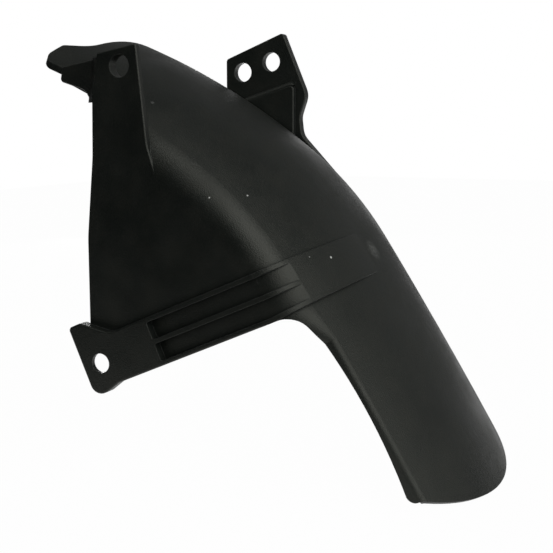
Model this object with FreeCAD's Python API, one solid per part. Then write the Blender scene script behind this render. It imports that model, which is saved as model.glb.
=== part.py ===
import FreeCAD, Part
import math
import os

# A one-piece moulded rear mudguard for a motor scooter, in millimetres.
# X runs to the rear, Y from the left side to the right side, Z up.
# The origin is the centre of the left ear's bolt hole, on the ear's outer face.

# Side profile of the crown line, followed from the front edge to the tail
front_edge_x = -39.9
front_edge_z = 17.5
front_slope = 21.8
front_radius = 419.0
front_sweep = 15.25
bend_radius = 197.6
bend_sweep = 19.55
tail_radius = 2480.0
tail_length = 141.0

# Cross-section of the shell
guard_width = 132.0
wall = 3.0
crown_radius = 135.0
crown_centre = 78.0
shoulder_radius = 18.0
skirt = 12.0

# Tail: narrower than the shell, with a short turned-down lip and a round end
tail_inset = 9.5
tail_shoulder = 3.8
tail_lip = 0.8
lip_top = 250.0
lip_arch = 330.0
lip_blend = 8.5
lip_corner = 5.5
tail_end_radius = 93.0
tail_end_centre = 64.5
tail_left_corner = 3.0
tail_right_corner = 9.0
tail_end_wall = 1.6
tail_stations = 6
taper_length = 19.0

# Tongue on the front edge
tongue_reach = 10.2
tongue_inset = 13.5
tongue_width = 17.0
tongue_skew = 1.4
tongue_slant = 10.0
tongue_corner = 8.0
tongue_tip = 2.5
tongue_root = 16.0

# Left ear: a flat plate that stands up from the left wall
ear_bore = 11.0
ear_front = 12.6
ear_front_rise = 6.4
ear_rear = 9.4
ear_rear_rise = 10.4
ear_corner = 1.2
ear_foot_x = 14.6
ear_foot_z = -38.0
ear_flare = 26.0
ear_flare_end = 98.0
boss_radius = 7.6
boss_height = 3.0

# Flange that carries the ear's plate on to the tongue, set back behind the ear
flange_setback = 3.0
flange_lap = 0.4
flange_reach = 20.0
flange_lean = 1.6
flange_rise = 0.4
flange_drop = 6.8
flange_heel_x = 5.5
flange_heel_z = -11.4
flange_curve = 7.0
flange_corner = 2.0
flange_under_ear = 2.0
step_run = 3.8
bridge_drop = 17.4

# Left wall: from the ear down to the strut
wall_front_top_x = -16.0
wall_front_top_z = -17.4
wall_front_waist_x = -16.6
wall_front_waist_z = -44.0
wall_front_foot_x = -20.4
wall_front_foot_z = -84.0
wall_front_sway = 60.0

# Strut and its lug
lug_x = -11.4
lug_z = -146.7
lug_bore = 10.0
lug_proud = 5.0
lug_skin = 2.5
lug_end = 10.8
lug_horn = 22.6
lug_toe = 2.3
lug_toe_end = -3.0
lug_corner = 6.0
lug_blend = 4.0
lug_horn_width = 7.5
lug_horn_blend = 12.0
lug_horn_corner = 2.0
lug_lap = 6.0
strut_angle = 23.7
strut_width = 24.9
strut_rim = 2.3
strut_rib = 2.2
strut_pocket_corner = 1.0
strut_edge = 1.0
strut_solid = 33.6

# Strap that carries the strut over the shoulder on to the crown
strap_height = 2.2
strap_reach = 63.0
strap_lap = 6.0
strap_swing_high = 1.2
strap_swing_low = 3.8

# Right ear, with two bolt holes and a thicker foot
right_ear_thickness = 5.0
right_bore_x = 6.4
right_bore_z = 1.9
right_bore_pitch = 19.0
right_bore_angle = 17.5
right_ear_front = 10.8
right_ear_rise = 7.6
right_ear_top_angle = 21.8
right_ear_top = 39.0
right_ear_corner = 2.0
right_ear_belly_x = 46.8
right_ear_belly_z = -11.5
right_ear_waist_x = 42.6
right_ear_waist_z = -24.0
right_ear_flare_x = 43.8
right_ear_flare_z = -34.4
right_ear_heel_x = 74.0
right_ear_heel_z = -66.5
right_ear_curve = 10.0
right_ear_end = 178.0
right_foot_thickness = 2.4
right_foot_drop = 17.0
right_foot_shift = 2.2
right_foot_length = 31.0
right_wall_depth = 22.0

plate_edge = 0.5
margin = 20.0
far_away = 200.0

arc_radii = (front_radius, bend_radius, tail_radius)
front_length = front_radius * math.radians(front_sweep)
bend_length = bend_radius * math.radians(bend_sweep)
tail_start = front_length + bend_length
tail_end = tail_start + tail_length
arc_starts = (0.0, front_length, tail_start)
arc_ends = (front_length, tail_start, tail_end + far_away)


def arc_frames():
    """Gives each profile arc's start point and start slope, as (x, z, slope in radians)."""
    x = front_edge_x
    z = front_edge_z
    slope = math.radians(front_slope)
    frames = [(x, z, slope)]
    for radius, sweep in ((front_radius, front_sweep), (bend_radius, bend_sweep)):
        steeper = slope + math.radians(sweep)
        x += radius * (math.sin(steeper) - math.sin(slope))
        z += radius * (math.cos(steeper) - math.cos(slope))
        slope = steeper
        frames.append((x, z, slope))
    return frames


frames = arc_frames()


def arc_number(distance):
    """Says which of the three profile arcs a distance from the front edge falls on."""
    if distance < front_length:
        return 0
    if distance < tail_start:
        return 1
    return 2


def arc_centre(number):
    """Gives the centre of a profile arc, as a point on the axis that its part is turned about."""
    x, z, slope = frames[number]
    radius = arc_radii[number]
    return FreeCAD.Vector(x - radius * math.sin(slope), 0, z - radius * math.cos(slope))


def slope_at(distance, number=None):
    """Gives the profile's slope in radians at a distance from the front edge."""
    if number is None:
        number = arc_number(distance)
    return frames[number][2] + (distance - arc_starts[number]) / arc_radii[number]


def place(distance, lateral, height, number=None):
    """Gives the point at a distance along the profile, a lateral place and a height off the crown line."""
    if number is None:
        number = arc_number(distance)
    slope = slope_at(distance, number)
    reach = arc_radii[number] + height
    centre = arc_centre(number)
    return FreeCAD.Vector(centre.x + reach * math.sin(slope), lateral, centre.z + reach * math.cos(slope))


def shoulder(edge, radius):
    """Gives a shoulder's centre and the unit direction from the crown's centre through it."""
    side = 1 if edge < crown_centre else -1
    centre_y = edge + side * radius
    reach = crown_radius - radius
    across = (centre_y - crown_centre) / reach
    up = math.sqrt(1 - across * across)
    return centre_y, reach * up - crown_radius, across, up


def strut_point(u, w, lateral):
    """Gives the point at u along the strut from the lug's hole, w across it, and a lateral place."""
    angle = math.radians(strut_angle)
    x = lug_x + u * math.cos(angle) - w * math.sin(angle)
    z = lug_z + u * math.sin(angle) + w * math.cos(angle)
    return FreeCAD.Vector(x, lateral, z)


def along_strut(height):
    """Gives how far along the strut its axis comes to a height off the crown line, on the tail's arc."""
    centre = arc_centre(2)
    foot = strut_point(0, 0, 0) - centre
    way = strut_point(1, 0, 0) - strut_point(0, 0, 0)
    ahead = foot.dot(way)
    return math.sqrt(ahead ** 2 - foot.dot(foot) + (tail_radius + height) ** 2) - ahead


def strap_edge_at_crown():
    """Gives the distance from the front edge at which the strap's lower edge comes to the crown line."""
    tip = strut_point(along_strut(0.0), strap_swing_low - strut_width / 2, 0) - arc_centre(2)
    return tail_start + (math.atan2(tip.x, tip.z) - frames[2][2]) * tail_radius


strap_end = strap_edge_at_crown()
taper_end = strap_end + taper_length


def section(distance, left, right, radius, left_skirt, right_skirt, number=None, thickness=wall):
    """Draws the shell's closed cross-section at a distance along the profile."""
    left_y, left_z, left_across, left_up = shoulder(left, radius)
    right_y, right_z, right_across, right_up = shoulder(right, radius)

    def side(shift):
        round_radius = radius - shift
        crown = crown_radius - shift
        left_turn = round_radius / math.hypot(left_across - 1, left_up)
        right_turn = round_radius / math.hypot(right_across + 1, right_up)
        return [
            (left + shift, left_z - left_skirt),
            (left + shift, left_z),
            (left_y + left_turn * (left_across - 1), left_z + left_turn * left_up),
            (crown_centre + crown * left_across, crown * left_up - crown_radius),
            (crown_centre, -shift),
            (crown_centre + crown * right_across, crown * right_up - crown_radius),
            (right_y + right_turn * (right_across + 1), right_z + right_turn * right_up),
            (right - shift, right_z),
            (right - shift, right_z - right_skirt),
        ]

    outer = [place(distance, y, h, number) for y, h in side(0.0)]
    inner = [place(distance, y, h, number) for y, h in side(thickness)]
    edges = [Part.makeLine(inner[0], outer[0]), Part.makeLine(outer[0], outer[1])]
    edges += [Part.Arc(*outer[k:k + 3]).toShape() for k in (1, 3, 5)]
    edges += [Part.makeLine(outer[7], outer[8]), Part.makeLine(outer[8], inner[8])]
    edges += [Part.makeLine(inner[8], inner[7])]
    edges += [Part.Arc(inner[k], inner[k - 1], inner[k - 2]).toShape() for k in (7, 5, 3)]
    edges += [Part.makeLine(inner[1], inner[0])]
    return Part.Wire(edges)


def turned(wire, start, end, number):
    """Turns a closed section about a profile arc's centre, from one distance to another."""
    sweep = math.degrees((end - start) / arc_radii[number])
    return Part.Face(wire).revolve(arc_centre(number), FreeCAD.Vector(0, 1, 0), sweep)


def swept(draw, start, end):
    """Turns a section along the profile, arc by arc.

    draw(distance, number) gives the closed section at a distance on one of the arcs.
    """
    pieces = []
    for number, (arc_start, arc_end) in enumerate(zip(arc_starts, arc_ends)):
        first = start if number == 0 else max(start, arc_start)
        last = min(end, arc_end)
        if last > first:
            pieces.append(turned(draw(first, number), first, last, number))
    return pieces


def turned_block(start, end, number, low_y, high_y, low, high):
    """Turns a rectangle in lateral place and height along a profile arc."""
    corners = [(low_y, low), (high_y, low), (high_y, high), (low_y, high), (low_y, low)]
    wire = Part.makePolygon([place(start, y, h, number) for y, h in corners])
    return turned(wire, start, end, number)


def rounded_face(corners, to_space):
    """Makes a face from corners (a, b, radius), with each corner rounded by an arc."""
    edges = []
    ends = []
    for k, (a, b, radius) in enumerate(corners):
        here = FreeCAD.Vector(a, b, 0)
        before = FreeCAD.Vector(*corners[k - 1][:2], 0) - here
        after = FreeCAD.Vector(*corners[(k + 1) % len(corners)][:2], 0) - here
        before.normalize()
        after.normalize()
        if radius == 0:
            ends.append((here, here, None))
            continue
        half = before.getAngle(after) / 2
        middle = before + after
        middle.normalize()
        tangent = radius / math.tan(half)
        mid = here + middle * (radius / math.sin(half) - radius)
        ends.append((here + before * tangent, here + after * tangent, mid))
    for k, (first, last, mid) in enumerate(ends):
        if mid is not None:
            edges.append(Part.Arc(to_space(first), to_space(mid), to_space(last)).toShape())
        following = ends[(k + 1) % len(ends)][0]
        if (following - last).Length > 1e-6:
            edges.append(Part.makeLine(to_space(last), to_space(following)))
    return Part.Face(Part.Wire(edges))


def side_plate(corners, low_y, high_y, soft_faces=()):
    """Makes a flat plate in the side plane from (x, z, radius) corners, between two lateral places.

    The edges round each face named in soft_faces, by its lateral place, are broken by a small chamfer.
    """
    face = rounded_face(corners, lambda p: FreeCAD.Vector(p.x, low_y, p.y))
    plate = face.extrude(FreeCAD.Vector(0, high_y - low_y, 0))
    edges = []
    for edge in plate.Edges:
        box = edge.BoundBox
        if box.YLength < 1e-6 and min([abs(box.YMin - y) for y in soft_faces] + [wall]) < 1e-6:
            edges.append(edge)
    if edges:
        plate = plate.makeChamfer(plate_edge, edges)
    return plate


def bore(x, z, diameter, low_y, high_y):
    """Makes a round tool across the guard, for a bolt hole or a boss."""
    start = FreeCAD.Vector(x, low_y, z)
    return Part.makeCylinder(diameter / 2, high_y - low_y, start, FreeCAD.Vector(0, 1, 0))


def make_shell():
    """Makes the crowned shell, wide over the wheel and narrowing to the tail."""

    def wide(distance, number):
        return section(distance, 0.0, guard_width, shoulder_radius, skirt, skirt + right_wall_depth, number)

    def narrow(share):
        distance = taper_end + share * (tail_end + margin - taper_end)
        right = guard_width - tail_inset
        thickness = wall + share * (tail_end_wall - wall)
        return section(distance, tail_inset, right, tail_shoulder, skirt, tail_lip, 2, thickness)

    pieces = swept(wide, -tongue_reach - margin, strap_end)
    stations = [narrow(k / tail_stations) for k in range(tail_stations + 1)]
    pieces.append(Part.makeLoft([wide(strap_end, 2)] + stations, True, True))
    return pieces[0].multiFuse(pieces[1:])


def front_cut():
    """Makes the tools that cut the front edge round the tongue and clear the shell ahead of the left wall."""
    slope = slope_at(0.0)
    along = FreeCAD.Vector(math.cos(slope), 0, -math.sin(slope))
    normal = FreeCAD.Vector(math.sin(slope), 0, math.cos(slope))
    start = place(0.0, 0, 0) - normal * far_away / 2
    tip_end = tongue_inset + tongue_width
    corners = [
        (-far_away, -margin, 0),
        (0.0, -margin, 0),
        (0.0, tongue_inset, 0),
        (tongue_skew - tongue_reach, tongue_inset, tongue_corner),
        (-tongue_reach, tip_end, tongue_tip),
        (0.0, tip_end + tongue_slant, tongue_root),
        (0.0, guard_width + margin, 0),
        (-far_away, guard_width + margin, 0),
    ]
    face = rounded_face(corners, lambda p: start + along * p.x + FreeCAD.Vector(0, p.y, 0))
    low_corner = FreeCAD.Vector(wall_front_top_x - far_away, -margin, -far_away / 2)
    ahead = Part.makeBox(far_away, margin + tongue_inset, far_away, low_corner)
    return [face.extrude(normal * far_away), ahead]


def tail_bow(lateral):
    """Gives how far the tail's round end lies ahead of its tip at a lateral place."""
    return tail_end_radius - math.sqrt(tail_end_radius ** 2 - (lateral - tail_end_centre) ** 2)


def tail_cut():
    """Makes the tool that rounds off the end of the tail."""
    slope = slope_at(tail_end)
    along = FreeCAD.Vector(math.cos(slope), 0, -math.sin(slope))
    normal = FreeCAD.Vector(math.sin(slope), 0, math.cos(slope))
    rise = normal * far_away
    start = place(tail_end, 0, 0) - rise / 2
    left = tail_inset - wall / 5
    right = guard_width - left
    front = -far_away / 4

    def at(t, y):
        return start + along * t + FreeCAD.Vector(0, y, 0)

    left_end = at(-tail_bow(left), left)
    right_end = at(-tail_bow(right), right)
    edges = [Part.Arc(left_end, at(0, tail_end_centre), right_end).toShape()]
    edges.append(Part.makeLine(right_end, at(front, right)))
    edges.append(Part.makeLine(at(front, right), at(front, left)))
    edges.append(Part.makeLine(at(front, left), left_end))
    kept = Part.Face(Part.Wire(edges)).extrude(rise)
    for end, radius in ((left_end, tail_left_corner), (right_end, tail_right_corner)):
        middle = end + rise / 2
        corner = min(kept.Edges, key=lambda edge: (edge.CenterOfMass - middle).Length)
        kept = kept.makeFillet(radius, [corner])
    low_y = -margin
    high_y = guard_width + margin
    outline = [at(front + wall, low_y), at(front + wall, high_y), at(far_away, high_y), at(far_away, low_y)]
    block = Part.Face(Part.makePolygon(outline + outline[:1])).extrude(rise)
    return block.cut(kept)


def lip_point(distance, raised=0.0):
    """Gives a point on the arched lower edge of the tail's left lip, or raised above it."""
    height = shoulder(tail_inset, tail_shoulder)[1] - tail_lip
    return place(distance, 0, height + raised - (distance - lip_top) ** 2 / (2 * lip_arch))


def lip_end_cut():
    """Makes the tool that rounds off the end of the left lip."""
    end = tail_end - tail_bow(tail_inset)
    turn = lip_corner * (1 - math.sqrt(0.5))
    first = lip_point(end - lip_corner)
    last = lip_point(end, lip_corner)
    past = lip_point(tail_end + margin, lip_corner)
    low = lip_point(tail_end + margin, -margin)
    edges = [Part.Arc(first, lip_point(end - turn, turn), last).toShape(), Part.makeLine(last, past)]
    edges += [Part.makeLine(past, low), Part.makeLine(low, first)]
    face = Part.Face(Part.Wire(edges))
    face.translate(FreeCAD.Vector(0, -margin, 0))
    return face.extrude(FreeCAD.Vector(0, margin + tail_inset + wall, 0))


def left_cut():
    """Makes the tool that trims the left wall along the strut's lower edge and the tail's arched lip."""
    blend_at = strap_end + lip_blend
    slope = slope_at(blend_at) - (lip_top - blend_at) / lip_arch
    blend = lip_point(blend_at)
    under = strut_point(0, -strut_width / 2, 0)
    rise = math.tan(math.radians(strut_angle))
    fall = math.tan(slope)
    x = (blend.z - under.z + rise * under.x + fall * blend.x) / (rise + fall)
    corner = FreeCAD.Vector(x, 0, under.z + rise * (x - under.x))
    down = FreeCAD.Vector(math.cos(slope), 0, -math.sin(slope))
    back = FreeCAD.Vector(-math.cos(math.radians(strut_angle)), 0, -math.sin(math.radians(strut_angle)))
    tangent = (blend - corner).Length
    half = back.getAngle(down) / 2
    middle = back + down
    middle.normalize()
    mid = corner + middle * (tangent / math.cos(half) - tangent * math.tan(half))
    first = corner + back * tangent
    last = lip_point(tail_end + margin)
    front = corner + back * far_away
    low = FreeCAD.Vector(front.x, 0, last.z - margin)
    low_end = FreeCAD.Vector(last.x, 0, low.z)
    edges = [Part.makeLine(front, first), Part.Arc(first, mid, blend).toShape()]
    edges += [Part.Arc(blend, lip_point(lip_top), last).toShape()]
    edges += [Part.makeLine(last, low_end), Part.makeLine(low_end, low), Part.makeLine(low, front)]
    face = Part.Face(Part.Wire(edges))
    face.translate(FreeCAD.Vector(0, -margin, 0))
    return face.extrude(FreeCAD.Vector(0, margin + tail_inset + tail_shoulder + wall, 0))


def right_cut():
    """Makes the tool that trims the right wall, deep at the front and running out at the tail."""
    top = shoulder(guard_width, shoulder_radius)[1]
    run_out = shoulder(guard_width - tail_inset, tail_shoulder)[1] - tail_lip
    front = place(0, 0, top - right_wall_depth)
    rear = place(taper_end, 0, run_out)
    ahead = front + (front - rear)
    below = FreeCAD.Vector(ahead.x, 0, rear.z - far_away)
    behind = FreeCAD.Vector(rear.x, 0, rear.z - far_away)
    face = Part.Face(Part.makePolygon([ahead, rear, behind, below, ahead]))
    start_y = guard_width - shoulder_radius
    face.translate(FreeCAD.Vector(0, start_y, 0))
    return face.extrude(FreeCAD.Vector(0, shoulder_radius + margin, 0))


def make_left_plate():
    """Makes the left wall and its ear as one flat plate."""
    foot = strut_point(-lug_end / 2, strut_width / 2, 0)
    seat = shoulder(0.0, shoulder_radius)[1] - skirt / 2
    corners = [
        (wall_front_foot_x, foot.z, 0),
        (wall_front_foot_x, wall_front_foot_z, wall_front_sway),
        (wall_front_waist_x, wall_front_waist_z, wall_front_sway),
        (wall_front_top_x, wall_front_top_z, 0),
        (-ear_front, ear_front_rise, ear_corner),
        (ear_rear, ear_rear_rise, ear_corner),
        (ear_foot_x, ear_foot_z, ear_flare),
    ]
    for distance in (ear_flare_end, front_length, tail_start, strap_end):
        point = place(distance, 0, seat)
        corners.append((point.x, point.z, 0))
    corners.append((lug_x, lug_z, 0))
    return side_plate(corners, 0, wall, (0,))


def make_flange():
    """Makes the set-back flange, its sloped step to the ear and its seat on the shell's edge."""
    front = wall_front_top_x - flange_reach
    under_ear = wall / 3 - ear_front
    corners = [
        (front + flange_lean, flange_rise, flange_corner / 2),
        (under_ear, ear_front_rise - flange_under_ear, 0),
        (under_ear, wall_front_top_z, 0),
        (wall_front_top_x - flange_corner, wall_front_top_z, flange_corner),
        (wall_front_top_x - flange_heel_x, flange_heel_z, flange_curve),
        (front, -flange_drop, flange_corner),
    ]
    low_y = flange_setback - flange_lap
    flange = side_plate(corners, low_y, flange_setback + wall, (low_y,))
    rise = ear_front_rise - flange_under_ear - wall_front_top_z
    tilt = (wall_front_top_x + ear_front) / (wall_front_top_z - ear_front_rise)
    foot = FreeCAD.Vector(wall_front_top_x, 0, wall_front_top_z)
    inset = FreeCAD.Vector(flange_lap, 0, 0)
    back = FreeCAD.Vector(0, flange_setback, 0)
    step = [foot + inset, foot, foot + back - FreeCAD.Vector(step_run, 0, 0), foot + inset + back]
    wedge = Part.Face(Part.makePolygon(step + step[:1])).extrude(FreeCAD.Vector(rise * tilt, 0, rise))
    slope = slope_at(0.0)
    seat_start = (front + flange_lean - front_edge_x) / math.cos(slope) + bridge_drop * math.tan(slope)
    low_y = flange_setback + wall / 2
    high_y = tongue_inset + wall / 2
    low = -bridge_drop - wall
    seat = turned_block(seat_start, seat_start + flange_reach, 0, low_y, high_y, low, -bridge_drop)
    return [flange, wedge, seat]


def make_strut():
    """Makes the strut with its two pockets, and the lug at its foot."""
    half = strut_width / 2
    end = along_strut(shoulder(0.0, shoulder_radius)[1])
    lug_start = strut_solid - lug_lap
    side = [(lug_start, -lug_proud), (strut_solid, -lug_proud), (end, -strap_height)]
    side += [(end, wall / 2), (lug_start, wall / 2)]
    across = strut_point(0, strut_width, 0) - strut_point(0, 0, 0)
    along = strut_point(1, 0, 0) - strut_point(0, 0, 0)
    profile = [strut_point(u, -half, y) for u, y in side]
    beam = Part.Face(Part.makePolygon(profile + profile[:1])).extrude(across)
    edges = []
    for edge in beam.Edges:
        run = edge.Vertexes[-1].Point - edge.Vertexes[0].Point
        if abs(run.dot(along)) > lug_lap / 2 and edge.CenterOfMass.y < -strap_height:
            edges.append(edge)
    beam = beam.makeFillet(strut_edge, edges)
    corners = [
        (-lug_end, -half - lug_toe, lug_corner),
        (lug_toe_end, -half - lug_toe, lug_blend),
        (lug_end / 2, -half, lug_blend),
        (lug_start, -half, 0),
        (lug_start, half, 0),
        (lug_end, half, lug_horn_blend),
        (-lug_end + lug_horn_width, lug_horn, lug_horn_corner),
        (-lug_end, lug_horn, lug_horn_corner),
    ]
    face = rounded_face(corners, lambda p: strut_point(p.x, p.y, -lug_proud))
    lug = face.extrude(FreeCAD.Vector(0, lug_proud + wall / 2, 0))
    edges = []
    for edge in lug.Edges:
        middle = edge.CenterOfMass
        inward = (middle - strut_point(lug_start, 0, middle.y)).Length
        if abs(middle.y + lug_proud) < 1e-6 and inward > half / 2:
            edges.append(edge)
    lug = lug.makeFillet(strut_edge, edges)
    strut = beam.fuse(lug)
    depth = FreeCAD.Vector(0, lug_proud + margin, 0)
    past = end + margin
    round_by = strut_pocket_corner
    near = strut_solid
    for low, high in ((strut_rim - half, -strut_rib / 2), (strut_rib / 2, half - strut_rim)):
        corners = [(near, low, round_by), (past, low, 0), (past, high, 0), (near, high, round_by)]
        face = rounded_face(corners, lambda p: strut_point(p.x, p.y, -lug_proud - margin))
        strut = strut.cut(face.extrude(depth))
    return strut


def lug_hollow():
    """Makes the tool that hollows the lug from behind."""
    half = strut_width / 2 - lug_skin
    front = -lug_end + lug_skin
    rear = strut_solid - lug_skin
    corners = [(u, w, lug_blend) for u, w in ((front, -half), (rear, -half), (rear, half), (front, half))]
    face = rounded_face(corners, lambda p: strut_point(p.x, p.y, -lug_proud + lug_skin))
    return face.extrude(FreeCAD.Vector(0, lug_proud + wall, 0))


def strap_band(low, low_swing, high, high_swing):
    """Makes a block that carries a band of the strut on over the shell.

    The band lies between low and high across the strut up to the shoulder, and its edges swing
    across by low_swing and high_swing by the time they come to the crown line.
    """
    shoulder_start = along_strut(shoulder(0.0, shoulder_radius)[1])
    crown = along_strut(0.0)
    past = crown + margin
    swing = (past - shoulder_start) / (crown - shoulder_start)
    corners = [
        (shoulder_start - strap_lap, low),
        (shoulder_start, low),
        (past, low + low_swing * swing),
        (past, high + high_swing * swing),
        (shoulder_start, high),
        (shoulder_start - strap_lap, high),
    ]
    outline = [strut_point(u, w, -margin) for u, w in corners]
    face = Part.Face(Part.makePolygon(outline + outline[:1]))
    return face.extrude(FreeCAD.Vector(0, strap_reach + 2 * margin, 0))


def make_strap():
    """Makes the raised strap over the shoulder, with the strut's rims and rib running out on it."""
    centre_y, centre_h, across, up = shoulder(0.0, shoulder_radius)
    turn = math.hypot(across - 1, up)
    outer = shoulder_radius + strap_height
    root = wall / 2
    inner = shoulder_radius - root
    high = crown_radius + strap_height
    low = crown_radius - root

    def crown(y, lift):
        return math.sqrt((crown_radius + lift) ** 2 - (y - crown_centre) ** 2) - crown_radius

    middle = (crown_centre + high * across + strap_reach) / 2
    crest_y = crown_centre + high * across
    crest_h = high * up - crown_radius
    points = [
        (-strap_height, centre_h - margin),
        (-strap_height, centre_h),
        (centre_y + outer * (across - 1) / turn, centre_h + outer * up / turn),
        (crest_y, crest_h),
        (middle, crown(middle, strap_height * 0.8)),
        (strap_reach, crown(strap_reach, 0.0)),
        (strap_reach, crown(strap_reach, -root)),
        (middle, crown(middle, -root)),
        (crown_centre + low * across, low * up - crown_radius),
        (centre_y + inner * (across - 1) / turn, centre_h + inner * up / turn),
        (root, centre_h),
        (root, centre_h - margin),
    ]

    def draw(distance, number):
        at = [place(distance, y, h, number) for y, h in points]
        edges = [Part.makeLine(at[0], at[1])]
        edges += [Part.Arc(*at[1:4]).toShape(), Part.Arc(*at[3:6]).toShape(), Part.makeLine(at[5], at[6])]
        edges += [Part.Arc(*at[6:9]).toShape(), Part.Arc(*at[8:11]).toShape()]
        edges += [Part.makeLine(at[10], at[11]), Part.makeLine(at[11], at[0])]
        return Part.Wire(edges)

    floor_rise = crest_h - centre_h
    floor_radius = (crest_y ** 2 + floor_rise ** 2) / (2 * crest_y)
    half_turn = math.atan2(floor_rise, floor_radius - crest_y) / 2
    floor_middle = floor_radius * (1 - math.cos(half_turn))
    channel = [
        (0.0, centre_h - margin),
        (0.0, centre_h),
        (floor_middle, centre_h + floor_radius * math.sin(half_turn)),
        (crest_y, crest_h),
        (crest_y + margin * across, crest_h + margin * up),
        (-margin, centre_h - margin),
    ]

    def draw_channel(distance, number):
        at = [place(distance, y, h, number) for y, h in channel]
        edges = [Part.makeLine(at[0], at[1]), Part.Arc(*at[1:4]).toShape(), Part.makeLine(at[3], at[4])]
        edges += [Part.makeLine(at[4], at[5]), Part.makeLine(at[5], at[0])]
        return Part.Wire(edges)

    half = strut_width / 2
    pad_start = strap_end - 2 * strut_width
    pad_end = strap_end + half
    pads = swept(draw, pad_start, pad_end)
    pad = pads[0].multiFuse(pads[1:])
    strap = pad.common(strap_band(-half, strap_swing_low, half, strap_swing_high))
    grooves = swept(draw_channel, pad_start, pad_end)
    groove = grooves[0].multiFuse(grooves[1:])
    bands = [
        strap_band(strut_rim - half, strap_swing_low, -strut_rib / 2, strap_swing_high),
        strap_band(strut_rib / 2, strap_swing_high, half - strut_rim, strap_swing_high),
    ]
    for band in bands:
        strap = strap.cut(groove.common(band))
    return strap


def make_right_ear():
    """Makes the right ear with its thicker foot, standing on the right shoulder."""
    top = math.radians(right_ear_top_angle)
    front = right_bore_x - right_ear_front
    rear = front + right_ear_top * math.cos(top)
    high = right_bore_z + right_ear_rise
    shoulder_start = shoulder(guard_width, shoulder_radius)[1]
    seat = shoulder_start - wall
    front_foot = place((front - front_edge_x) / math.cos(slope_at(0.0)), 0, seat)
    run_out = place(right_ear_end, 0, shoulder_start)
    rear_foot = place(right_ear_end, 0, seat)
    corners = [
        (front, front_foot.z, 0),
        (front, high, right_ear_corner),
        (rear, high + right_ear_top * math.sin(top), right_ear_corner),
        (right_ear_belly_x, right_ear_belly_z, right_ear_curve),
        (right_ear_waist_x, right_ear_waist_z, right_ear_curve),
        (right_ear_flare_x, right_ear_flare_z, right_ear_curve),
        (right_ear_heel_x, right_ear_heel_z, right_ear_curve),
        (run_out.x, run_out.z, 0),
        (rear_foot.x, rear_foot.z, 0),
    ]
    inner_face = guard_width - right_ear_thickness
    ear = side_plate(corners, inner_face, guard_width, (inner_face, guard_width))
    lean = math.tan(math.radians(right_bore_angle))
    foot_start = right_bore_x + right_foot_shift
    foot_end = foot_start + right_foot_length
    foot_z = right_bore_z - right_foot_drop
    foot_corners = [
        (foot_start, front_foot.z - right_foot_drop, 0),
        (foot_start, foot_z, 0),
        (foot_end, foot_z + lean * right_foot_length, right_foot_thickness),
        (foot_end, front_foot.z - right_foot_length, 0),
    ]
    foot_face = inner_face - right_foot_thickness
    foot = side_plate(foot_corners, foot_face, guard_width, (foot_face,))
    return [ear, foot]


def space_under_right():
    """Makes the space under the right half of the shell, which the right ear stays out of."""
    right_y, right_h, across, up = shoulder(guard_width, shoulder_radius)
    crown = crown_radius - wall
    round_radius = shoulder_radius - wall
    turn = math.hypot(across + 1, up)
    depth = right_h - skirt - right_wall_depth
    half_up = math.sqrt(1 - across ** 2 / 4)
    points = [
        (crown_centre, depth),
        (crown_centre, -wall),
        (crown_centre + crown * across / 2, crown * half_up - crown_radius),
        (crown_centre + crown * across, crown * up - crown_radius),
        (right_y + round_radius * (across + 1) / turn, right_h + round_radius * up / turn),
        (guard_width - wall, right_h),
        (guard_width - wall, depth),
    ]

    def draw(distance, number):
        at = [place(distance, y, h, number) for y, h in points]
        edges = [Part.makeLine(at[0], at[1]), Part.Arc(*at[1:4]).toShape(), Part.Arc(*at[3:6]).toShape()]
        edges += [Part.makeLine(at[5], at[6]), Part.makeLine(at[6], at[0])]
        return Part.Wire(edges)

    return swept(draw, 0.0, right_ear_end)


def make_mudguard():
    """Joins the shell, wall, ears, strut and strap into the one moulding, and drills it."""
    body = make_shell()
    for tool in front_cut() + [tail_cut()]:
        body = body.cut(tool)
    body = body.multiFuse([make_left_plate(), make_strap()])
    for tool in (left_cut(), lip_end_cut(), right_cut()):
        body = body.cut(tool)
    right_ear = [piece.cut(space_under_right()) for piece in make_right_ear()]
    boss = bore(0, 0, 2 * boss_radius, wall / 2, wall + boss_height)
    body = body.multiFuse([make_strut(), boss] + make_flange() + right_ear)
    angle = math.radians(right_bore_angle)
    second_x = right_bore_x + right_bore_pitch * math.cos(angle)
    second_z = right_bore_z + right_bore_pitch * math.sin(angle)
    right_low = guard_width - right_ear_thickness - right_foot_thickness - 1
    tools = [lug_hollow(), bore(0, 0, ear_bore, -1, wall + boss_height + 1)]
    tools.append(bore(lug_x, lug_z, lug_bore, -lug_proud - 1, wall + 1))
    tools.append(bore(right_bore_x, right_bore_z, ear_bore, right_low, guard_width + 1))
    tools.append(bore(second_x, second_z, ear_bore, right_low, guard_width + 1))
    for tool in tools:
        body = body.cut(tool)
    return body.removeSplitter()


def main():
    """Builds the mudguard and writes it as one solid."""
    os.makedirs("parts", exist_ok=True)
    mudguard = make_mudguard()
    solid = max(mudguard.Solids, key=lambda piece: piece.Volume)
    solid.exportStep("parts/mudguard.step")


main()
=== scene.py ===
import logging
import math
from dataclasses import dataclass
from enum import Enum

import bpy
import numpy as np
from mathutils import Matrix, Vector


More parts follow.
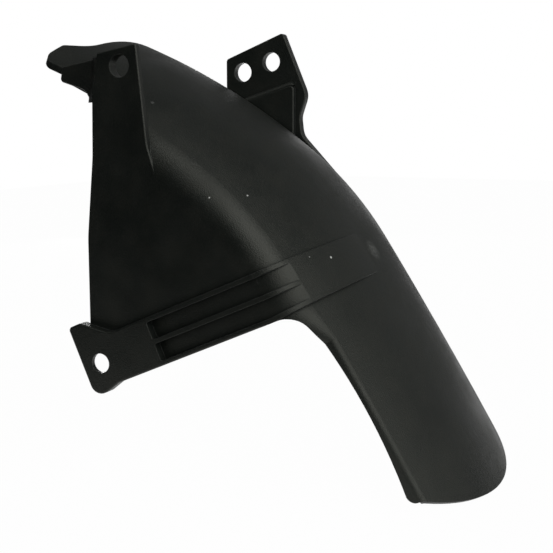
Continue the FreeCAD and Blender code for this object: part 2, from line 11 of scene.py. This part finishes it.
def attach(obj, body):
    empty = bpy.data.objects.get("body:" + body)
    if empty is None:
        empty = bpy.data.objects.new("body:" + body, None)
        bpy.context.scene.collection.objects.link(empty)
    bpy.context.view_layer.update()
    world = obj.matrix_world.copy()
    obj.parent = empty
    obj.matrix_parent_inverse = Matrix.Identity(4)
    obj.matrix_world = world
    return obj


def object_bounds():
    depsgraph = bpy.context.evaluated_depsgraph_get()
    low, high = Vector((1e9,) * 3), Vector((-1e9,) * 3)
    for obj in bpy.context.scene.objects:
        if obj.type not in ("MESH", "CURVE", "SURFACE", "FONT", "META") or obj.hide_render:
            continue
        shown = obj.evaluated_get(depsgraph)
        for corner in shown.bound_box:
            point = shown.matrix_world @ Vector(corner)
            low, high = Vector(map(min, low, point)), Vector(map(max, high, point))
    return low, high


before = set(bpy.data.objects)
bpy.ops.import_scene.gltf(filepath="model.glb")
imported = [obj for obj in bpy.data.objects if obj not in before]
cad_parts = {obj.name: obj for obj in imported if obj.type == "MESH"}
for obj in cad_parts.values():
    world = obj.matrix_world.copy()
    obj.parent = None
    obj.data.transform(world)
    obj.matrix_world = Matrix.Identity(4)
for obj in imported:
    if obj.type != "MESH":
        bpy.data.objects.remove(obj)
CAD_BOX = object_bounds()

# A one-piece moulded rear mudguard for a motor scooter, dressed as black grained plastic.
# The shared frame is in metres: X to the rear, Y from the left side to the right, Z up.

MM = 0.001
IMAGE_PIXELS = 553
Socket = bpy.types.NodeSocket
Pair = tuple[float, float]
Triple = tuple[float, float, float]
log = logging.getLogger("mudguard")


class MarkKind(Enum):
    """The kinds of mark that use has left on the moulding."""

    SPECK = "speck"
    SCUFF = "scuff"
    NICK = "nick"


@dataclass(frozen=True)
class Mark:
    """One mark on the shell's upper side.

    Attributes:
        kind: what sort of mark it is.
        distance: how far it lies from the front edge along the crown line, in millimetres.
        lateral: its place across the guard, in millimetres from the left wall.
        radius: its size, in millimetres.
        raised: how far the skin stands over the shell there, in millimetres.
    """

    kind: MarkKind
    distance: float
    lateral: float
    radius: float
    raised: float = 0.0


@dataclass(frozen=True)
class CrownLine:
    """The shell's side profile of three tangent arcs, from the front edge to the tail, and its section.

    Attributes:
        front_edge: the X and Z of the front edge, in millimetres.
        front_slope: how steeply the line falls at the front edge, in degrees.
        radii: the arcs' radii, in millimetres.
        sweeps: the angles that the first two arcs turn through, in degrees.
        crown_radius: the radius of the section's crown, in millimetres.
        crown_centre: the crown's highest place, in millimetres from the left wall.
        shoulder_radius: the radius between the crown and the left wall, in millimetres.
    """

    front_edge: Pair = (-39.9, 17.5)
    front_slope: float = 21.8
    radii: Triple = (419.0, 197.6, 2480.0)
    sweeps: Pair = (15.25, 19.55)
    crown_radius: float = 135.0
    crown_centre: float = 78.0
    shoulder_radius: float = 18.0

    def point(self, distance: np.ndarray, lateral: np.ndarray, height: np.ndarray) -> np.ndarray:
        """Gives points at distances along the crown line.

        On each arc of radius R that starts at angle a, a point at arc length d and height h lies at
        centre + (R + h) * (sin(a + d / R), cos(a + d / R)) in the X-Z plane.

        Args:
            distance: lengths along the crown line from the front edge, in millimetres.
            lateral: places across the guard, in millimetres.
            height: heights off the crown line, in millimetres.

        Returns:
            An array of points in metres, with X, Y and Z on its last axis.
        """
        distance, lateral, height = np.broadcast_arrays(distance, lateral, height)
        slope = math.radians(self.front_slope)
        x, z = self.front_edge
        start = 0.0
        out = np.zeros(distance.shape + (3,))
        for number, radius in enumerate(self.radii):
            centre_x = x - radius * math.sin(slope)
            centre_z = z - radius * math.cos(slope)
            angle = slope + (distance - start) / radius
            reach = radius + height
            here_x = centre_x + reach * np.sin(angle)
            here_z = centre_z + reach * np.cos(angle)
            on_arc = distance >= start if number else np.ones(distance.shape, bool)
            out = np.where(on_arc[..., None], np.stack([here_x, lateral, here_z], axis=-1), out)
            if number < len(self.sweeps):
                sweep = math.radians(self.sweeps[number])
                slope += sweep
                x = centre_x + radius * math.sin(slope)
                z = centre_z + radius * math.cos(slope)
                start += radius * sweep
        return out * MM

    def crown_height(self, lateral: np.ndarray) -> np.ndarray:
        """Gives the outer skin's height over the crown line.

        The crown is sqrt(R^2 - (y - c)^2) - R. The left shoulder is an arc of radius r that starts on
        the wall y = 0 and is tangent to the crown inside: its centre lies r from the wall and R - r
        from the crown's centre.

        Args:
            lateral: places across the guard, in millimetres.

        Returns:
            The heights in millimetres, which are 0 at the crown's top and below 0 beside it.
        """
        across = lateral - self.crown_centre
        crown = np.sqrt(self.crown_radius ** 2 - across ** 2) - self.crown_radius
        inside = self.shoulder_radius - self.crown_centre
        reach = self.crown_radius - self.shoulder_radius
        centre = math.sqrt(reach ** 2 - inside ** 2) - self.crown_radius
        meet = self.crown_centre + inside * self.crown_radius / reach
        dip = np.clip(self.shoulder_radius - lateral, 0.0, self.shoulder_radius)
        shoulder = centre + np.sqrt(self.shoulder_radius ** 2 - dip ** 2)
        return np.where(lateral < meet, shoulder, crown)


@dataclass(frozen=True)
class Mottle:
    """A pattern of soft patches.

    Attributes:
        size: the patches' size, in metres.
        detail: the number of finer layers.
        rough: how strong the finer layers are.
        low: the noise's value at which a patch starts.
        high: the noise's value at which a patch is full.
    """

    size: float
    detail: float
    rough: float
    low: float = 0.0
    high: float = 1.0


class NodeSheet:
    """A short hand for wiring the nodes of one material or world."""

    def __init__(self, owner: bpy.types.Material | bpy.types.World) -> None:
        """Starts with an empty node tree.

        Args:
            owner: the material or world to wire.
        """
        owner.use_nodes = True
        self.tree = owner.node_tree
        self.tree.nodes.clear()

    def node(self, kind: str, **settings: object) -> bpy.types.Node:
        """Adds a node and sets its properties.

        Args:
            kind: the node's Blender type.
            settings: property values by name.

        Returns:
            The new node.
        """
        made = self.tree.nodes.new(kind)
        for name, value in settings.items():
            setattr(made, name, value)
        return made

    def feed(self, socket: Socket, value: object) -> None:
        """Links a socket into an input, or sets the input's value.

        Args:
            socket: the input.
            value: the socket to link, or the value to set.
        """
        if isinstance(value, Socket):
            self.tree.links.new(value, socket)
        else:
            socket.default_value = value

    def math(self, operation: str, *values: Socket | float) -> Socket:
        """Adds a Math node.

        Args:
            operation: the operation's Blender name.
            values: sockets or numbers for its inputs.

        Returns:
            The node's output.
        """
        made = self.node("ShaderNodeMath", operation=operation)
        for socket, value in zip(made.inputs, values):
            self.feed(socket, value)
        return made.outputs[0]

    def ramp(self, value: Socket, low: float, high: float, first: float = 0.0, last: float = 1.0) -> Socket:
        """Maps a range smoothly on to another.

        Args:
            value: the socket to map.
            low: the value at which the result is first.
            high: the value at which the result is last.
            first: the result at the low end.
            last: the result at the high end.

        Returns:
            The node's output.
        """
        made = self.node("ShaderNodeMapRange", interpolation_type="SMOOTHSTEP")
        for name, number in (("From Min", low), ("From Max", high), ("To Min", first), ("To Max", last)):
            made.inputs[name].default_value = number
        self.feed(made.inputs["Value"], value)
        return made.outputs["Result"]

    def noise(self, place: Socket, mottle: Mottle) -> Socket:
        """Adds a noise.

        Args:
            place: the coordinates.
            mottle: the pattern, of which the size, detail and roughness are used.

        Returns:
            The noise's value.
        """
        made = self.node("ShaderNodeTexNoise")
        self.feed(made.inputs["Vector"], place)
        made.inputs["Scale"].default_value = 1.0 / mottle.size
        made.inputs["Detail"].default_value = mottle.detail
        made.inputs["Roughness"].default_value = mottle.rough
        return made.outputs["Fac"]

    def patches(self, place: Socket, mottle: Mottle, first: float = 0.0, last: float = 1.0) -> Socket:
        """Adds a noise and parts it into soft patches.

        Args:
            place: the coordinates.
            mottle: the pattern.
            first: the result outside the patches.
            last: the result inside them.

        Returns:
            The patches' value.
        """
        return self.ramp(self.noise(place, mottle), mottle.low, mottle.high, first, last)

    def blend(self, amount: Socket | float, under: Socket | Triple, over: Triple) -> Socket:
        """Mixes a colour over another.

        Args:
            amount: how much of the upper colour shows.
            under: the lower colour.
            over: the upper colour.

        Returns:
            The mixed colour.
        """
        made = self.node("ShaderNodeMix", data_type="RGBA")
        self.feed(made.inputs["Factor"], amount)
        self.feed(made.inputs[6], under if isinstance(under, Socket) else (*under, 1.0))
        self.feed(made.inputs[7], (*over, 1.0))
        return made.outputs[2]


@dataclass(frozen=True)
class GrainedPlastic:
    """Black moulded plastic with a fine grain, dull dust in it, paler edges, the marks of use, and painted
    shade that dims its shine in creases.

    Attributes:
        name: the material's name.
        colour: the clean plastic.
        dust: the plastic with dust in its grain.
        worn: the plastic on a rubbed edge.
        chalk: the pale colour of a mark.
        roughness: the mean roughness.
        roughness_swing: how far the roughness strays from that.
        dust_roughness: how much rougher dust is.
        specular: the shine of an open face.
        tint: the shine's colour.
        crease: how far the painted shade in a crease reaches, in metres.
        crease_shine: the share of the shine that the painted shade leaves deep in a crease.
        crease_range: the openness deep in a crease, and that of an open face.
        crease_samples: the rays that feel for a crease.
        edge: the radius of the broken edges, in metres.
        edge_range: the rounded normal's dot product with the true one where wear starts, and is full.
        edge_samples: the rays that feel for an edge.
        pebble: the size of the grain's pebbles, in metres.
        pebble_smoothness: how softly the pebbles meet.
        fine: the finer grain on the pebbles.
        fine_share: the finer grain's height beside the pebbles'.
        grain_height: the pebbles' height, in metres.
        grain_strength: how strongly the grain shows.
        wave: the broad changes of roughness.
        cloud: the dust's patches.
        scratch: the breaks in the edges' wear.
        streak: the breaks in a scuff.
        mark_core: the share of a speck's or nick's radius that is fully marked.
        scuff_core: the same share for a scuff.
        scuff_strength: how strong a scuff is between its streaks, and on them.
        nick_strength: how strong a nick is.
        marks: the marks of use.
    """

    name: str = "black_grained_plastic"
    colour: Triple = (0.0058, 0.0072, 0.0064)
    dust: Triple = (0.0076, 0.0087, 0.0074)
    worn: Triple = (0.034, 0.036, 0.036)
    chalk: Triple = (0.40, 0.41, 0.39)
    roughness: float = 0.40
    roughness_swing: float = 0.05
    dust_roughness: float = 0.05
    specular: float = 0.3
    tint: Triple = (0.985, 1.0, 0.89)
    crease: float = 0.005
    crease_shine: float = 0.25
    crease_range: Pair = (0.35, 0.95)
    crease_samples: int = 8
    edge: float = 0.0006
    edge_range: Pair = (0.99, 0.80)
    edge_samples: int = 6
    pebble: float = 0.0005
    pebble_smoothness: float = 0.6
    fine: Mottle = Mottle(0.0004, 2.0, 0.6)
    fine_share: float = 0.7
    grain_height: float = 0.00012
    grain_strength: float = 0.75
    wave: Mottle = Mottle(0.03, 1.0, 0.5, 0.3, 0.7)
    cloud: Mottle = Mottle(0.012, 4.0, 0.6, 0.35, 0.7)
    scratch: Mottle = Mottle(0.003, 3.0, 0.7, 0.35, 0.65)
    streak: Mottle = Mottle(0.0012, 3.0, 0.7, 0.35, 0.75)
    mark_core: float = 0.4
    scuff_core: float = 0.1
    scuff_strength: Pair = (0.02, 0.22)
    nick_strength: float = 0.09
    marks: tuple[Mark, ...] = ()

    def make(self, crown: CrownLine) -> bpy.types.Material:
        """Makes the material.

        Args:
            crown: the crown line that places the marks.

        Returns:
            The finished material.
        """
        material = bpy.data.materials.new(self.name)
        sheet = NodeSheet(material)
        place = sheet.node("ShaderNodeTexCoord").outputs["Object"]
        shader = sheet.node("ShaderNodeBsdfPrincipled")
        output = sheet.node("ShaderNodeOutputMaterial")
        sheet.feed(output.inputs["Surface"], shader.outputs["BSDF"])

        bevel = sheet.node("ShaderNodeBevel", samples=self.edge_samples)
        bevel.inputs["Radius"].default_value = self.edge
        rounded = bevel.outputs["Normal"]
        sheet.feed(shader.inputs["Normal"], self.grain_normal(sheet, place, rounded))

        dusty = sheet.patches(place, self.cloud)
        colour = sheet.blend(dusty, self.colour, self.dust)
        colour = sheet.blend(self.wear_mask(sheet, place, rounded), colour, self.worn)
        colour = sheet.blend(self.mark_mask(sheet, place, crown), colour, self.chalk)
        sheet.feed(shader.inputs["Base Color"], colour)

        smoothest = self.roughness - self.roughness_swing
        roughest = self.roughness + self.roughness_swing
        rough = sheet.patches(place, self.wave, smoothest, roughest)
        rough = sheet.math("ADD", rough, sheet.math("MULTIPLY", dusty, self.dust_roughness))
        sheet.feed(shader.inputs["Roughness"], rough)
        # The shine carries painted shade: it is dimmed in creases.
        sheet.feed(shader.inputs["Specular IOR Level"], self.shine(sheet))
        shader.inputs["Specular Tint"].default_value = (*self.tint, 1.0)
        return material

    def grain_normal(self, sheet: NodeSheet, place: Socket, rounded: Socket) -> Socket:
        """Builds the grain: round pebbles with a finer noise on them.

        Args:
            sheet: the material's node sheet.
            place: the object coordinates.
            rounded: the normal with rounded edges.

        Returns:
            The grained normal.
        """
        cells = sheet.node("ShaderNodeTexVoronoi", feature="SMOOTH_F1")
        sheet.feed(cells.inputs["Vector"], place)
        cells.inputs["Scale"].default_value = 1.0 / self.pebble
        cells.inputs["Smoothness"].default_value = self.pebble_smoothness
        fine = sheet.math("MULTIPLY", sheet.noise(place, self.fine), self.fine_share)
        bump = sheet.node("ShaderNodeBump")
        bump.inputs["Strength"].default_value = self.grain_strength
        bump.inputs["Distance"].default_value = self.grain_height
        sheet.feed(bump.inputs["Height"], sheet.math("ADD", cells.outputs["Distance"], fine))
        sheet.feed(bump.inputs["Normal"], rounded)
        return bump.outputs["Normal"]

    def wear_mask(self, sheet: NodeSheet, place: Socket, rounded: Socket) -> Socket:
        """Builds the mask of the rubbed edges, where the rounded normal leaves the true one.

        Args:
            sheet: the material's node sheet.
            place: the object coordinates.
            rounded: the normal with rounded edges.

        Returns:
            A value from 0, sound, to 1, worn.
        """
        facing = sheet.node("ShaderNodeVectorMath", operation="DOT_PRODUCT")
        sheet.feed(facing.inputs[0], rounded)
        sheet.feed(facing.inputs[1], sheet.node("ShaderNodeNewGeometry").outputs["Normal"])
        edge = sheet.ramp(facing.outputs["Value"], *self.edge_range)
        return sheet.math("MULTIPLY", edge, sheet.patches(place, self.scratch))

    def shine(self, sheet: NodeSheet) -> Socket:
        """Builds the shine, which painted shade makes weaker in creases: ambient occlusion lowers the
        specular level there.

        Args:
            sheet: the material's node sheet.

        Returns:
            The specular level, dimmed by painted shade in creases.
        """
        # Painted shade: ambient occlusion lowers the specular level in creases, darkening them beyond the
        # lamps' own shade.
        hollow = sheet.node("ShaderNodeAmbientOcclusion", samples=self.crease_samples, only_local=True)
        hollow.inputs["Distance"].default_value = self.crease
        deep = self.crease_shine * self.specular
        return sheet.ramp(hollow.outputs["AO"], *self.crease_range, deep, self.specular)

    def mark_mask(self, sheet: NodeSheet, place: Socket, crown: CrownLine) -> Socket | float:
        """Builds the mask of all the marks.

        Args:
            sheet: the material's node sheet.
            place: the object coordinates.
            crown: the crown line that places the marks.

        Returns:
            A value from 0, clean, to 1, marked.
        """
        total: Socket | float = 0.0
        for mark in self.marks:
            lateral = np.array(mark.lateral)
            height = crown.crown_height(lateral) + mark.raised
            gap = sheet.node("ShaderNodeVectorMath", operation="DISTANCE")
            sheet.feed(gap.inputs[0], place)
            sheet.feed(gap.inputs[1], crown.point(np.array(mark.distance), lateral, height).tolist())
            scuffed = mark.kind is MarkKind.SCUFF
            radius = mark.radius * MM
            core = radius * (self.scuff_core if scuffed else self.mark_core)
            near = sheet.ramp(gap.outputs["Value"], radius, core)
            if scuffed:
                streaks = sheet.patches(place, self.streak, *self.scuff_strength)
                near = sheet.math("MULTIPLY", near, streaks)
            elif mark.kind is MarkKind.NICK:
                near = sheet.math("MULTIPLY", near, self.nick_strength)
            total = sheet.math("MAXIMUM", total, near)
        return total


@dataclass(frozen=True)
class Moulding:
    """The mudguard's one moulding: its CAD solid, dressed in the plastic.

    Attributes:
        finish: the plastic.
        crown: the crown line that places the plastic's marks.
        node: the name of the solid's node.
    """

    finish: GrainedPlastic
    crown: CrownLine
    node: str = "mudguard"

    def dress(self) -> bpy.types.Material:
        """Puts the plastic on the CAD solid.

        Returns:
            The plastic, for the pieces moulded on to the solid.
        """
        material = self.finish.make(self.crown)
        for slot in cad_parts[self.node].material_slots:
            slot.material = material
        return material


def grid_piece(name: str, points: np.ndarray, material: bpy.types.Material) -> bpy.types.Object:
    """Makes a smooth surface from a grid of points.

    Args:
        name: the piece's name.
        points: an array of rows by columns by 3, in metres.
        material: its finish.

    Returns:
        The new object.
    """
    rows, columns = points.shape[:2]
    number = np.arange(rows * columns).reshape(rows, columns)
    corners = [number[:-1, :-1], number[1:, :-1], number[1:, 1:], number[:-1, 1:]]
    faces = np.stack(corners, axis=-1).reshape(-1, 4)
    mesh = bpy.data.meshes.new(name)
    mesh.from_pydata(points.reshape(-1, 3).tolist(), [], faces.tolist())
    mesh.polygons.foreach_set("use_smooth", np.ones(len(faces), bool))
    mesh.materials.append(material)
    mesh.update()
    piece = bpy.data.objects.new(name, mesh)
    bpy.context.scene.collection.objects.link(piece)
    return piece


@dataclass(frozen=True)
class FootBevel:
    """The rounded upper edge of the right ear's foot, which leads from the foot's face to the ear's.

    Attributes:
        front: the X and Z of the edge's front end, in millimetres.
        length: the edge's length along X, in millimetres.
        lean: how steeply the edge rises to the rear, in degrees.
        face: the Y of the foot's face, in millimetres.
        depth: the rounding's depth along Y, in millimetres.
        foot: the rounding's lower side, in millimetres over the edge.
        rise: the rounding's height, in millimetres.
        round_end: the share of the length over which the rear end closes.
        counts: the grid's points along the edge and round it.
    """

    front: Pair = (8.6, -15.1)
    length: float = 31.0
    lean: float = 17.5
    face: float = 124.6
    depth: float = 2.45
    foot: float = -0.6
    rise: float = 2.9
    round_end: float = 0.1
    counts: tuple[int, int] = (61, 13)

    def build(self, material: bpy.types.Material) -> bpy.types.Object:
        """Builds the edge as a quarter of an ellipse along a line.

        With s from 0 to 1 along the edge and t from 0 to a quarter turn, a point lies at
        front + s * length / cos(lean) * along + (foot + rise * e(s) * sin t) * upward in the X-Z plane,
        and its Y is face + depth * (1 - cos t). The factor e(s) = sqrt(1 - k^2) closes the rear end,
        where k runs from 0 to 1 over the round_end share.

        Args:
            material: the plastic.

        Returns:
            The new piece.
        """
        steps = np.linspace(0, 1, self.counts[0])
        turns = np.linspace(0, math.pi / 2, self.counts[1])
        s, t = np.meshgrid(steps, turns, indexing="ij")
        k = np.clip((s - 1 + self.round_end) / self.round_end, 0.0, 1.0)
        height = self.foot + self.rise * np.sqrt(1 - k ** 2) * np.sin(t)
        lean = math.radians(self.lean)
        run = s * self.length / math.cos(lean)
        x = self.front[0] + run * math.cos(lean) - height * math.sin(lean)
        z = self.front[1] + run * math.sin(lean) + height * math.cos(lean)
        y = self.face + self.depth * (1 - np.cos(t))
        piece = grid_piece("foot_bevel", np.stack([x, y, z], axis=-1) * MM, material)
        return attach(piece, "root")


@dataclass(frozen=True)
class FloorCoat:
    """The floor's finish: matt to soft light, and near white where it is seen or mirrored.

    Attributes:
        name: the material's name.
        grey: the matt coat's colour.
        glow: how much of what is seen or mirrored is plain white.
    """

    name: str = "pale_floor"
    grey: float = 0.4
    glow: float = 0.985

    def make(self) -> bpy.types.Material:
        """Makes the material.

        Returns:
            The finished material.
        """
        material = bpy.data.materials.new(self.name)
        sheet = NodeSheet(material)
        output = sheet.node("ShaderNodeOutputMaterial")
        matt = sheet.node("ShaderNodeBsdfDiffuse")
        matt.inputs["Color"].default_value = (self.grey, self.grey, self.grey, 1.0)
        white = sheet.node("ShaderNodeEmission")
        white.inputs["Strength"].default_value = 1.0
        path = sheet.node("ShaderNodeLightPath")
        seen = sheet.math("MAXIMUM", path.outputs["Is Camera Ray"], path.outputs["Is Glossy Ray"])
        seen = sheet.math("MAXIMUM", seen, path.outputs["Is Transmission Ray"])
        mix = sheet.node("ShaderNodeMixShader")
        sheet.feed(mix.inputs["Fac"], sheet.math("MULTIPLY", seen, self.glow))
        sheet.feed(mix.inputs[1], matt.outputs["BSDF"])
        sheet.feed(mix.inputs[2], white.outputs["Emission"])
        sheet.feed(output.inputs["Surface"], mix.outputs["Shader"])
        return material


@dataclass(frozen=True)
class SoftBox:
    """A soft square lamp.

    Attributes:
        name: the lamp's name.
        place: its place, in metres.
        size: the length of its sides, in metres.
        watts: its power.
        aim: the point that it faces, in metres.
    """

    name: str
    place: Triple
    size: float
    watts: float
    aim: Triple = (0.06, 0.06, -0.09)

    def hang(self) -> bpy.types.Object:
        """Makes the lamp and turns it to its aim.

        Returns:
            The lamp object.
        """
        lamp = bpy.data.lights.new(self.name, "AREA")
        lamp.shape = "SQUARE"
        lamp.size = self.size
        lamp.energy = self.watts
        holder = bpy.data.objects.new(self.name, lamp)
        bpy.context.scene.collection.objects.link(holder)
        holder.location = self.place
        beam = Vector(self.aim) - Vector(self.place)
        holder.rotation_euler = beam.to_track_quat("-Z", "Y").to_euler()
        return holder


@dataclass(frozen=True)
class Studio:
    """A pale floor, soft lamps, a white surround and the camera at the photograph's view.

    Attributes:
        lamps: the lamps.
        floor_coat: the floor's finish.
        floor_size: the length of the floor's sides, in metres.
        floor_drop: how far the floor lies under the part, in metres.
        floor_front: how far the floor reaches beyond the left wall, in metres.
        camera_place: the camera's place, in metres.
        camera_right: the picture's direction to the right.
        camera_up: the picture's direction upwards.
        camera_start: the nearest distance that the camera sees, in metres.
        focal_pixels: the focal length, in the photograph's pixels.
        sensor: the sensor's width, in millimetres.
        lit_side: the direction to the surround's brightest side.
        lit_range: the facing at which the surround starts to brighten, and at which it is brightest.
        bright: the surround's strength on its brightest side.
        dark: its strength on the dark side.
        soft_share: the share of that strength that soft light gets.
    """

    lamps: tuple[SoftBox, ...]
    floor_coat: FloorCoat = FloorCoat()
    floor_size: float = 3.0
    floor_drop: float = 0.0005
    floor_front: float = 0.16
    camera_place: Triple = (0.2737, -0.443, -0.026)
    camera_right: Triple = (0.918, 0.3958, 0.0)
    camera_up: Triple = (-0.0596, 0.1345, 0.989)
    camera_start: float = 0.01
    focal_pixels: float = 1050.0
    sensor: float = 36.0
    lit_side: Triple = (0.0, 1.0, 0.0)
    lit_range: Pair = (-0.1, 1.0)
    bright: float = 0.22
    dark: float = 0.015
    soft_share: float = 0.8

    def build_camera(self) -> bpy.types.Object:
        """Sets the camera, whose axes are right, up and their cross product, which points back.

        Returns:
            The camera object.
        """
        data = bpy.data.cameras.new("camera")
        data.sensor_fit = "HORIZONTAL"
        data.sensor_width = self.sensor
        data.lens = self.focal_pixels / IMAGE_PIXELS * self.sensor
        data.clip_start = self.camera_start
        eye = bpy.data.objects.new("camera", data)
        bpy.context.scene.collection.objects.link(eye)
        right = Vector(self.camera_right).normalized()
        back = right.cross(Vector(self.camera_up)).normalized()
        up = back.cross(right)
        turn = Matrix((right, up, back)).transposed().to_4x4()
        eye.matrix_world = Matrix.Translation(Vector(self.camera_place)) @ turn
        bpy.context.scene.camera = eye
        return eye

    def build_floor(self, level: float) -> bpy.types.Object:
        """Lays the pale floor.

        Args:
            level: the floor's height.

        Returns:
            The floor object.
        """
        half = self.floor_size / 2
        front = -self.floor_front
        rear = self.floor_size - self.floor_front
        corners = [(-half, front, level), (half, front, level), (half, rear, level), (-half, rear, level)]
        mesh = bpy.data.meshes.new("floor")
        mesh.from_pydata(corners, [], [(0, 1, 2, 3)])
        mesh.materials.append(self.floor_coat.make())
        floor = bpy.data.objects.new("floor", mesh)
        bpy.context.scene.collection.objects.link(floor)
        return floor

    def build_surround(self) -> None:
        """Makes the world: white to the camera, and to the part a studio lit from its right side.

        With d the ray's direction and f the facing d . lit_side, mirrored rays see
        shade(f) = dark + (bright - dark) * smoothstep(f), and soft light is a share of that.
        """
        world = bpy.data.worlds.new("surround")
        bpy.context.scene.world = world
        sheet = NodeSheet(world)
        output = sheet.node("ShaderNodeOutputWorld")
        room = sheet.node("ShaderNodeBackground")
        room.inputs["Color"].default_value = (1.0, 1.0, 1.0, 1.0)
        facing = sheet.node("ShaderNodeVectorMath", operation="DOT_PRODUCT")
        sheet.feed(facing.inputs[0], sheet.node("ShaderNodeTexCoord").outputs["Generated"])
        sheet.feed(facing.inputs[1], Vector(self.lit_side).normalized())
        shade = sheet.ramp(facing.outputs["Value"], *self.lit_range, self.dark, self.bright)
        path = sheet.node("ShaderNodeLightPath")
        gloss = sheet.math("MAXIMUM", path.outputs["Is Glossy Ray"], path.outputs["Is Transmission Ray"])
        share = sheet.math("MULTIPLY_ADD", gloss, 1.0 - self.soft_share, self.soft_share)
        shade = sheet.math("MULTIPLY", shade, share)
        strength = sheet.math("MAXIMUM", path.outputs["Is Camera Ray"], shade)
        sheet.feed(room.inputs["Strength"], strength)
        sheet.feed(output.inputs["Surface"], room.outputs["Background"])

    def build(self, level: float) -> None:
        """Builds the whole studio.

        Args:
            level: the height of the part's lowest point.
        """
        bpy.context.scene.view_settings.view_transform = "Standard"
        self.build_camera()
        self.build_floor(level - self.floor_drop)
        self.build_surround()
        for lamp in self.lamps:
            lamp.hang()


USE_MARKS = (
    Mark(MarkKind.SPECK, 119.9, 2.2, 0.5),
    Mark(MarkKind.SPECK, 131.5, 14.3, 0.6),
    Mark(MarkKind.SPECK, 181.1, 30.1, 0.8, 2.2),
    Mark(MarkKind.SPECK, 176.3, 18.4, 0.45, 2.2),
    Mark(MarkKind.SCUFF, 186.0, 71.0, 7.0),
    Mark(MarkKind.NICK, 56.4, 22.8, 1.3),
)

STUDIO_LAMPS = (
    SoftBox("key", (0.782, -0.59, 0.426), 1.1, 10.5),
    SoftBox("high", (0.37, -0.25, 0.92), 0.7, 2.8),
    SoftBox("side", (1.12, 0.02, 0.2), 0.7, 2.0),
    SoftBox("back", (0.75, 0.75, 0.42), 0.7, 0.35),
    SoftBox("rim", (-0.25, 1.15, 0.02), 0.6, 0.7),
    SoftBox("right", (-0.55, 1.0, -0.04), 0.3, 3.0),
    SoftBox("left", (-0.435, -0.325, 0.81), 0.5, 1.3),
)


def main() -> None:
    """Builds the mudguard and its studio, and reports each piece."""
    logging.basicConfig(level=logging.INFO, format="%(name)s: %(message)s")
    moulding = Moulding(GrainedPlastic(marks=USE_MARKS), CrownLine())
    plastic = moulding.dress()
    log.info("dressed %s", moulding.node)
    log.info("built %s", FootBevel().build(plastic).name)
    low, _high = CAD_BOX
    Studio(STUDIO_LAMPS).build(low[2])
    log.info("built the studio")


if __name__ == "__main__":
    main()
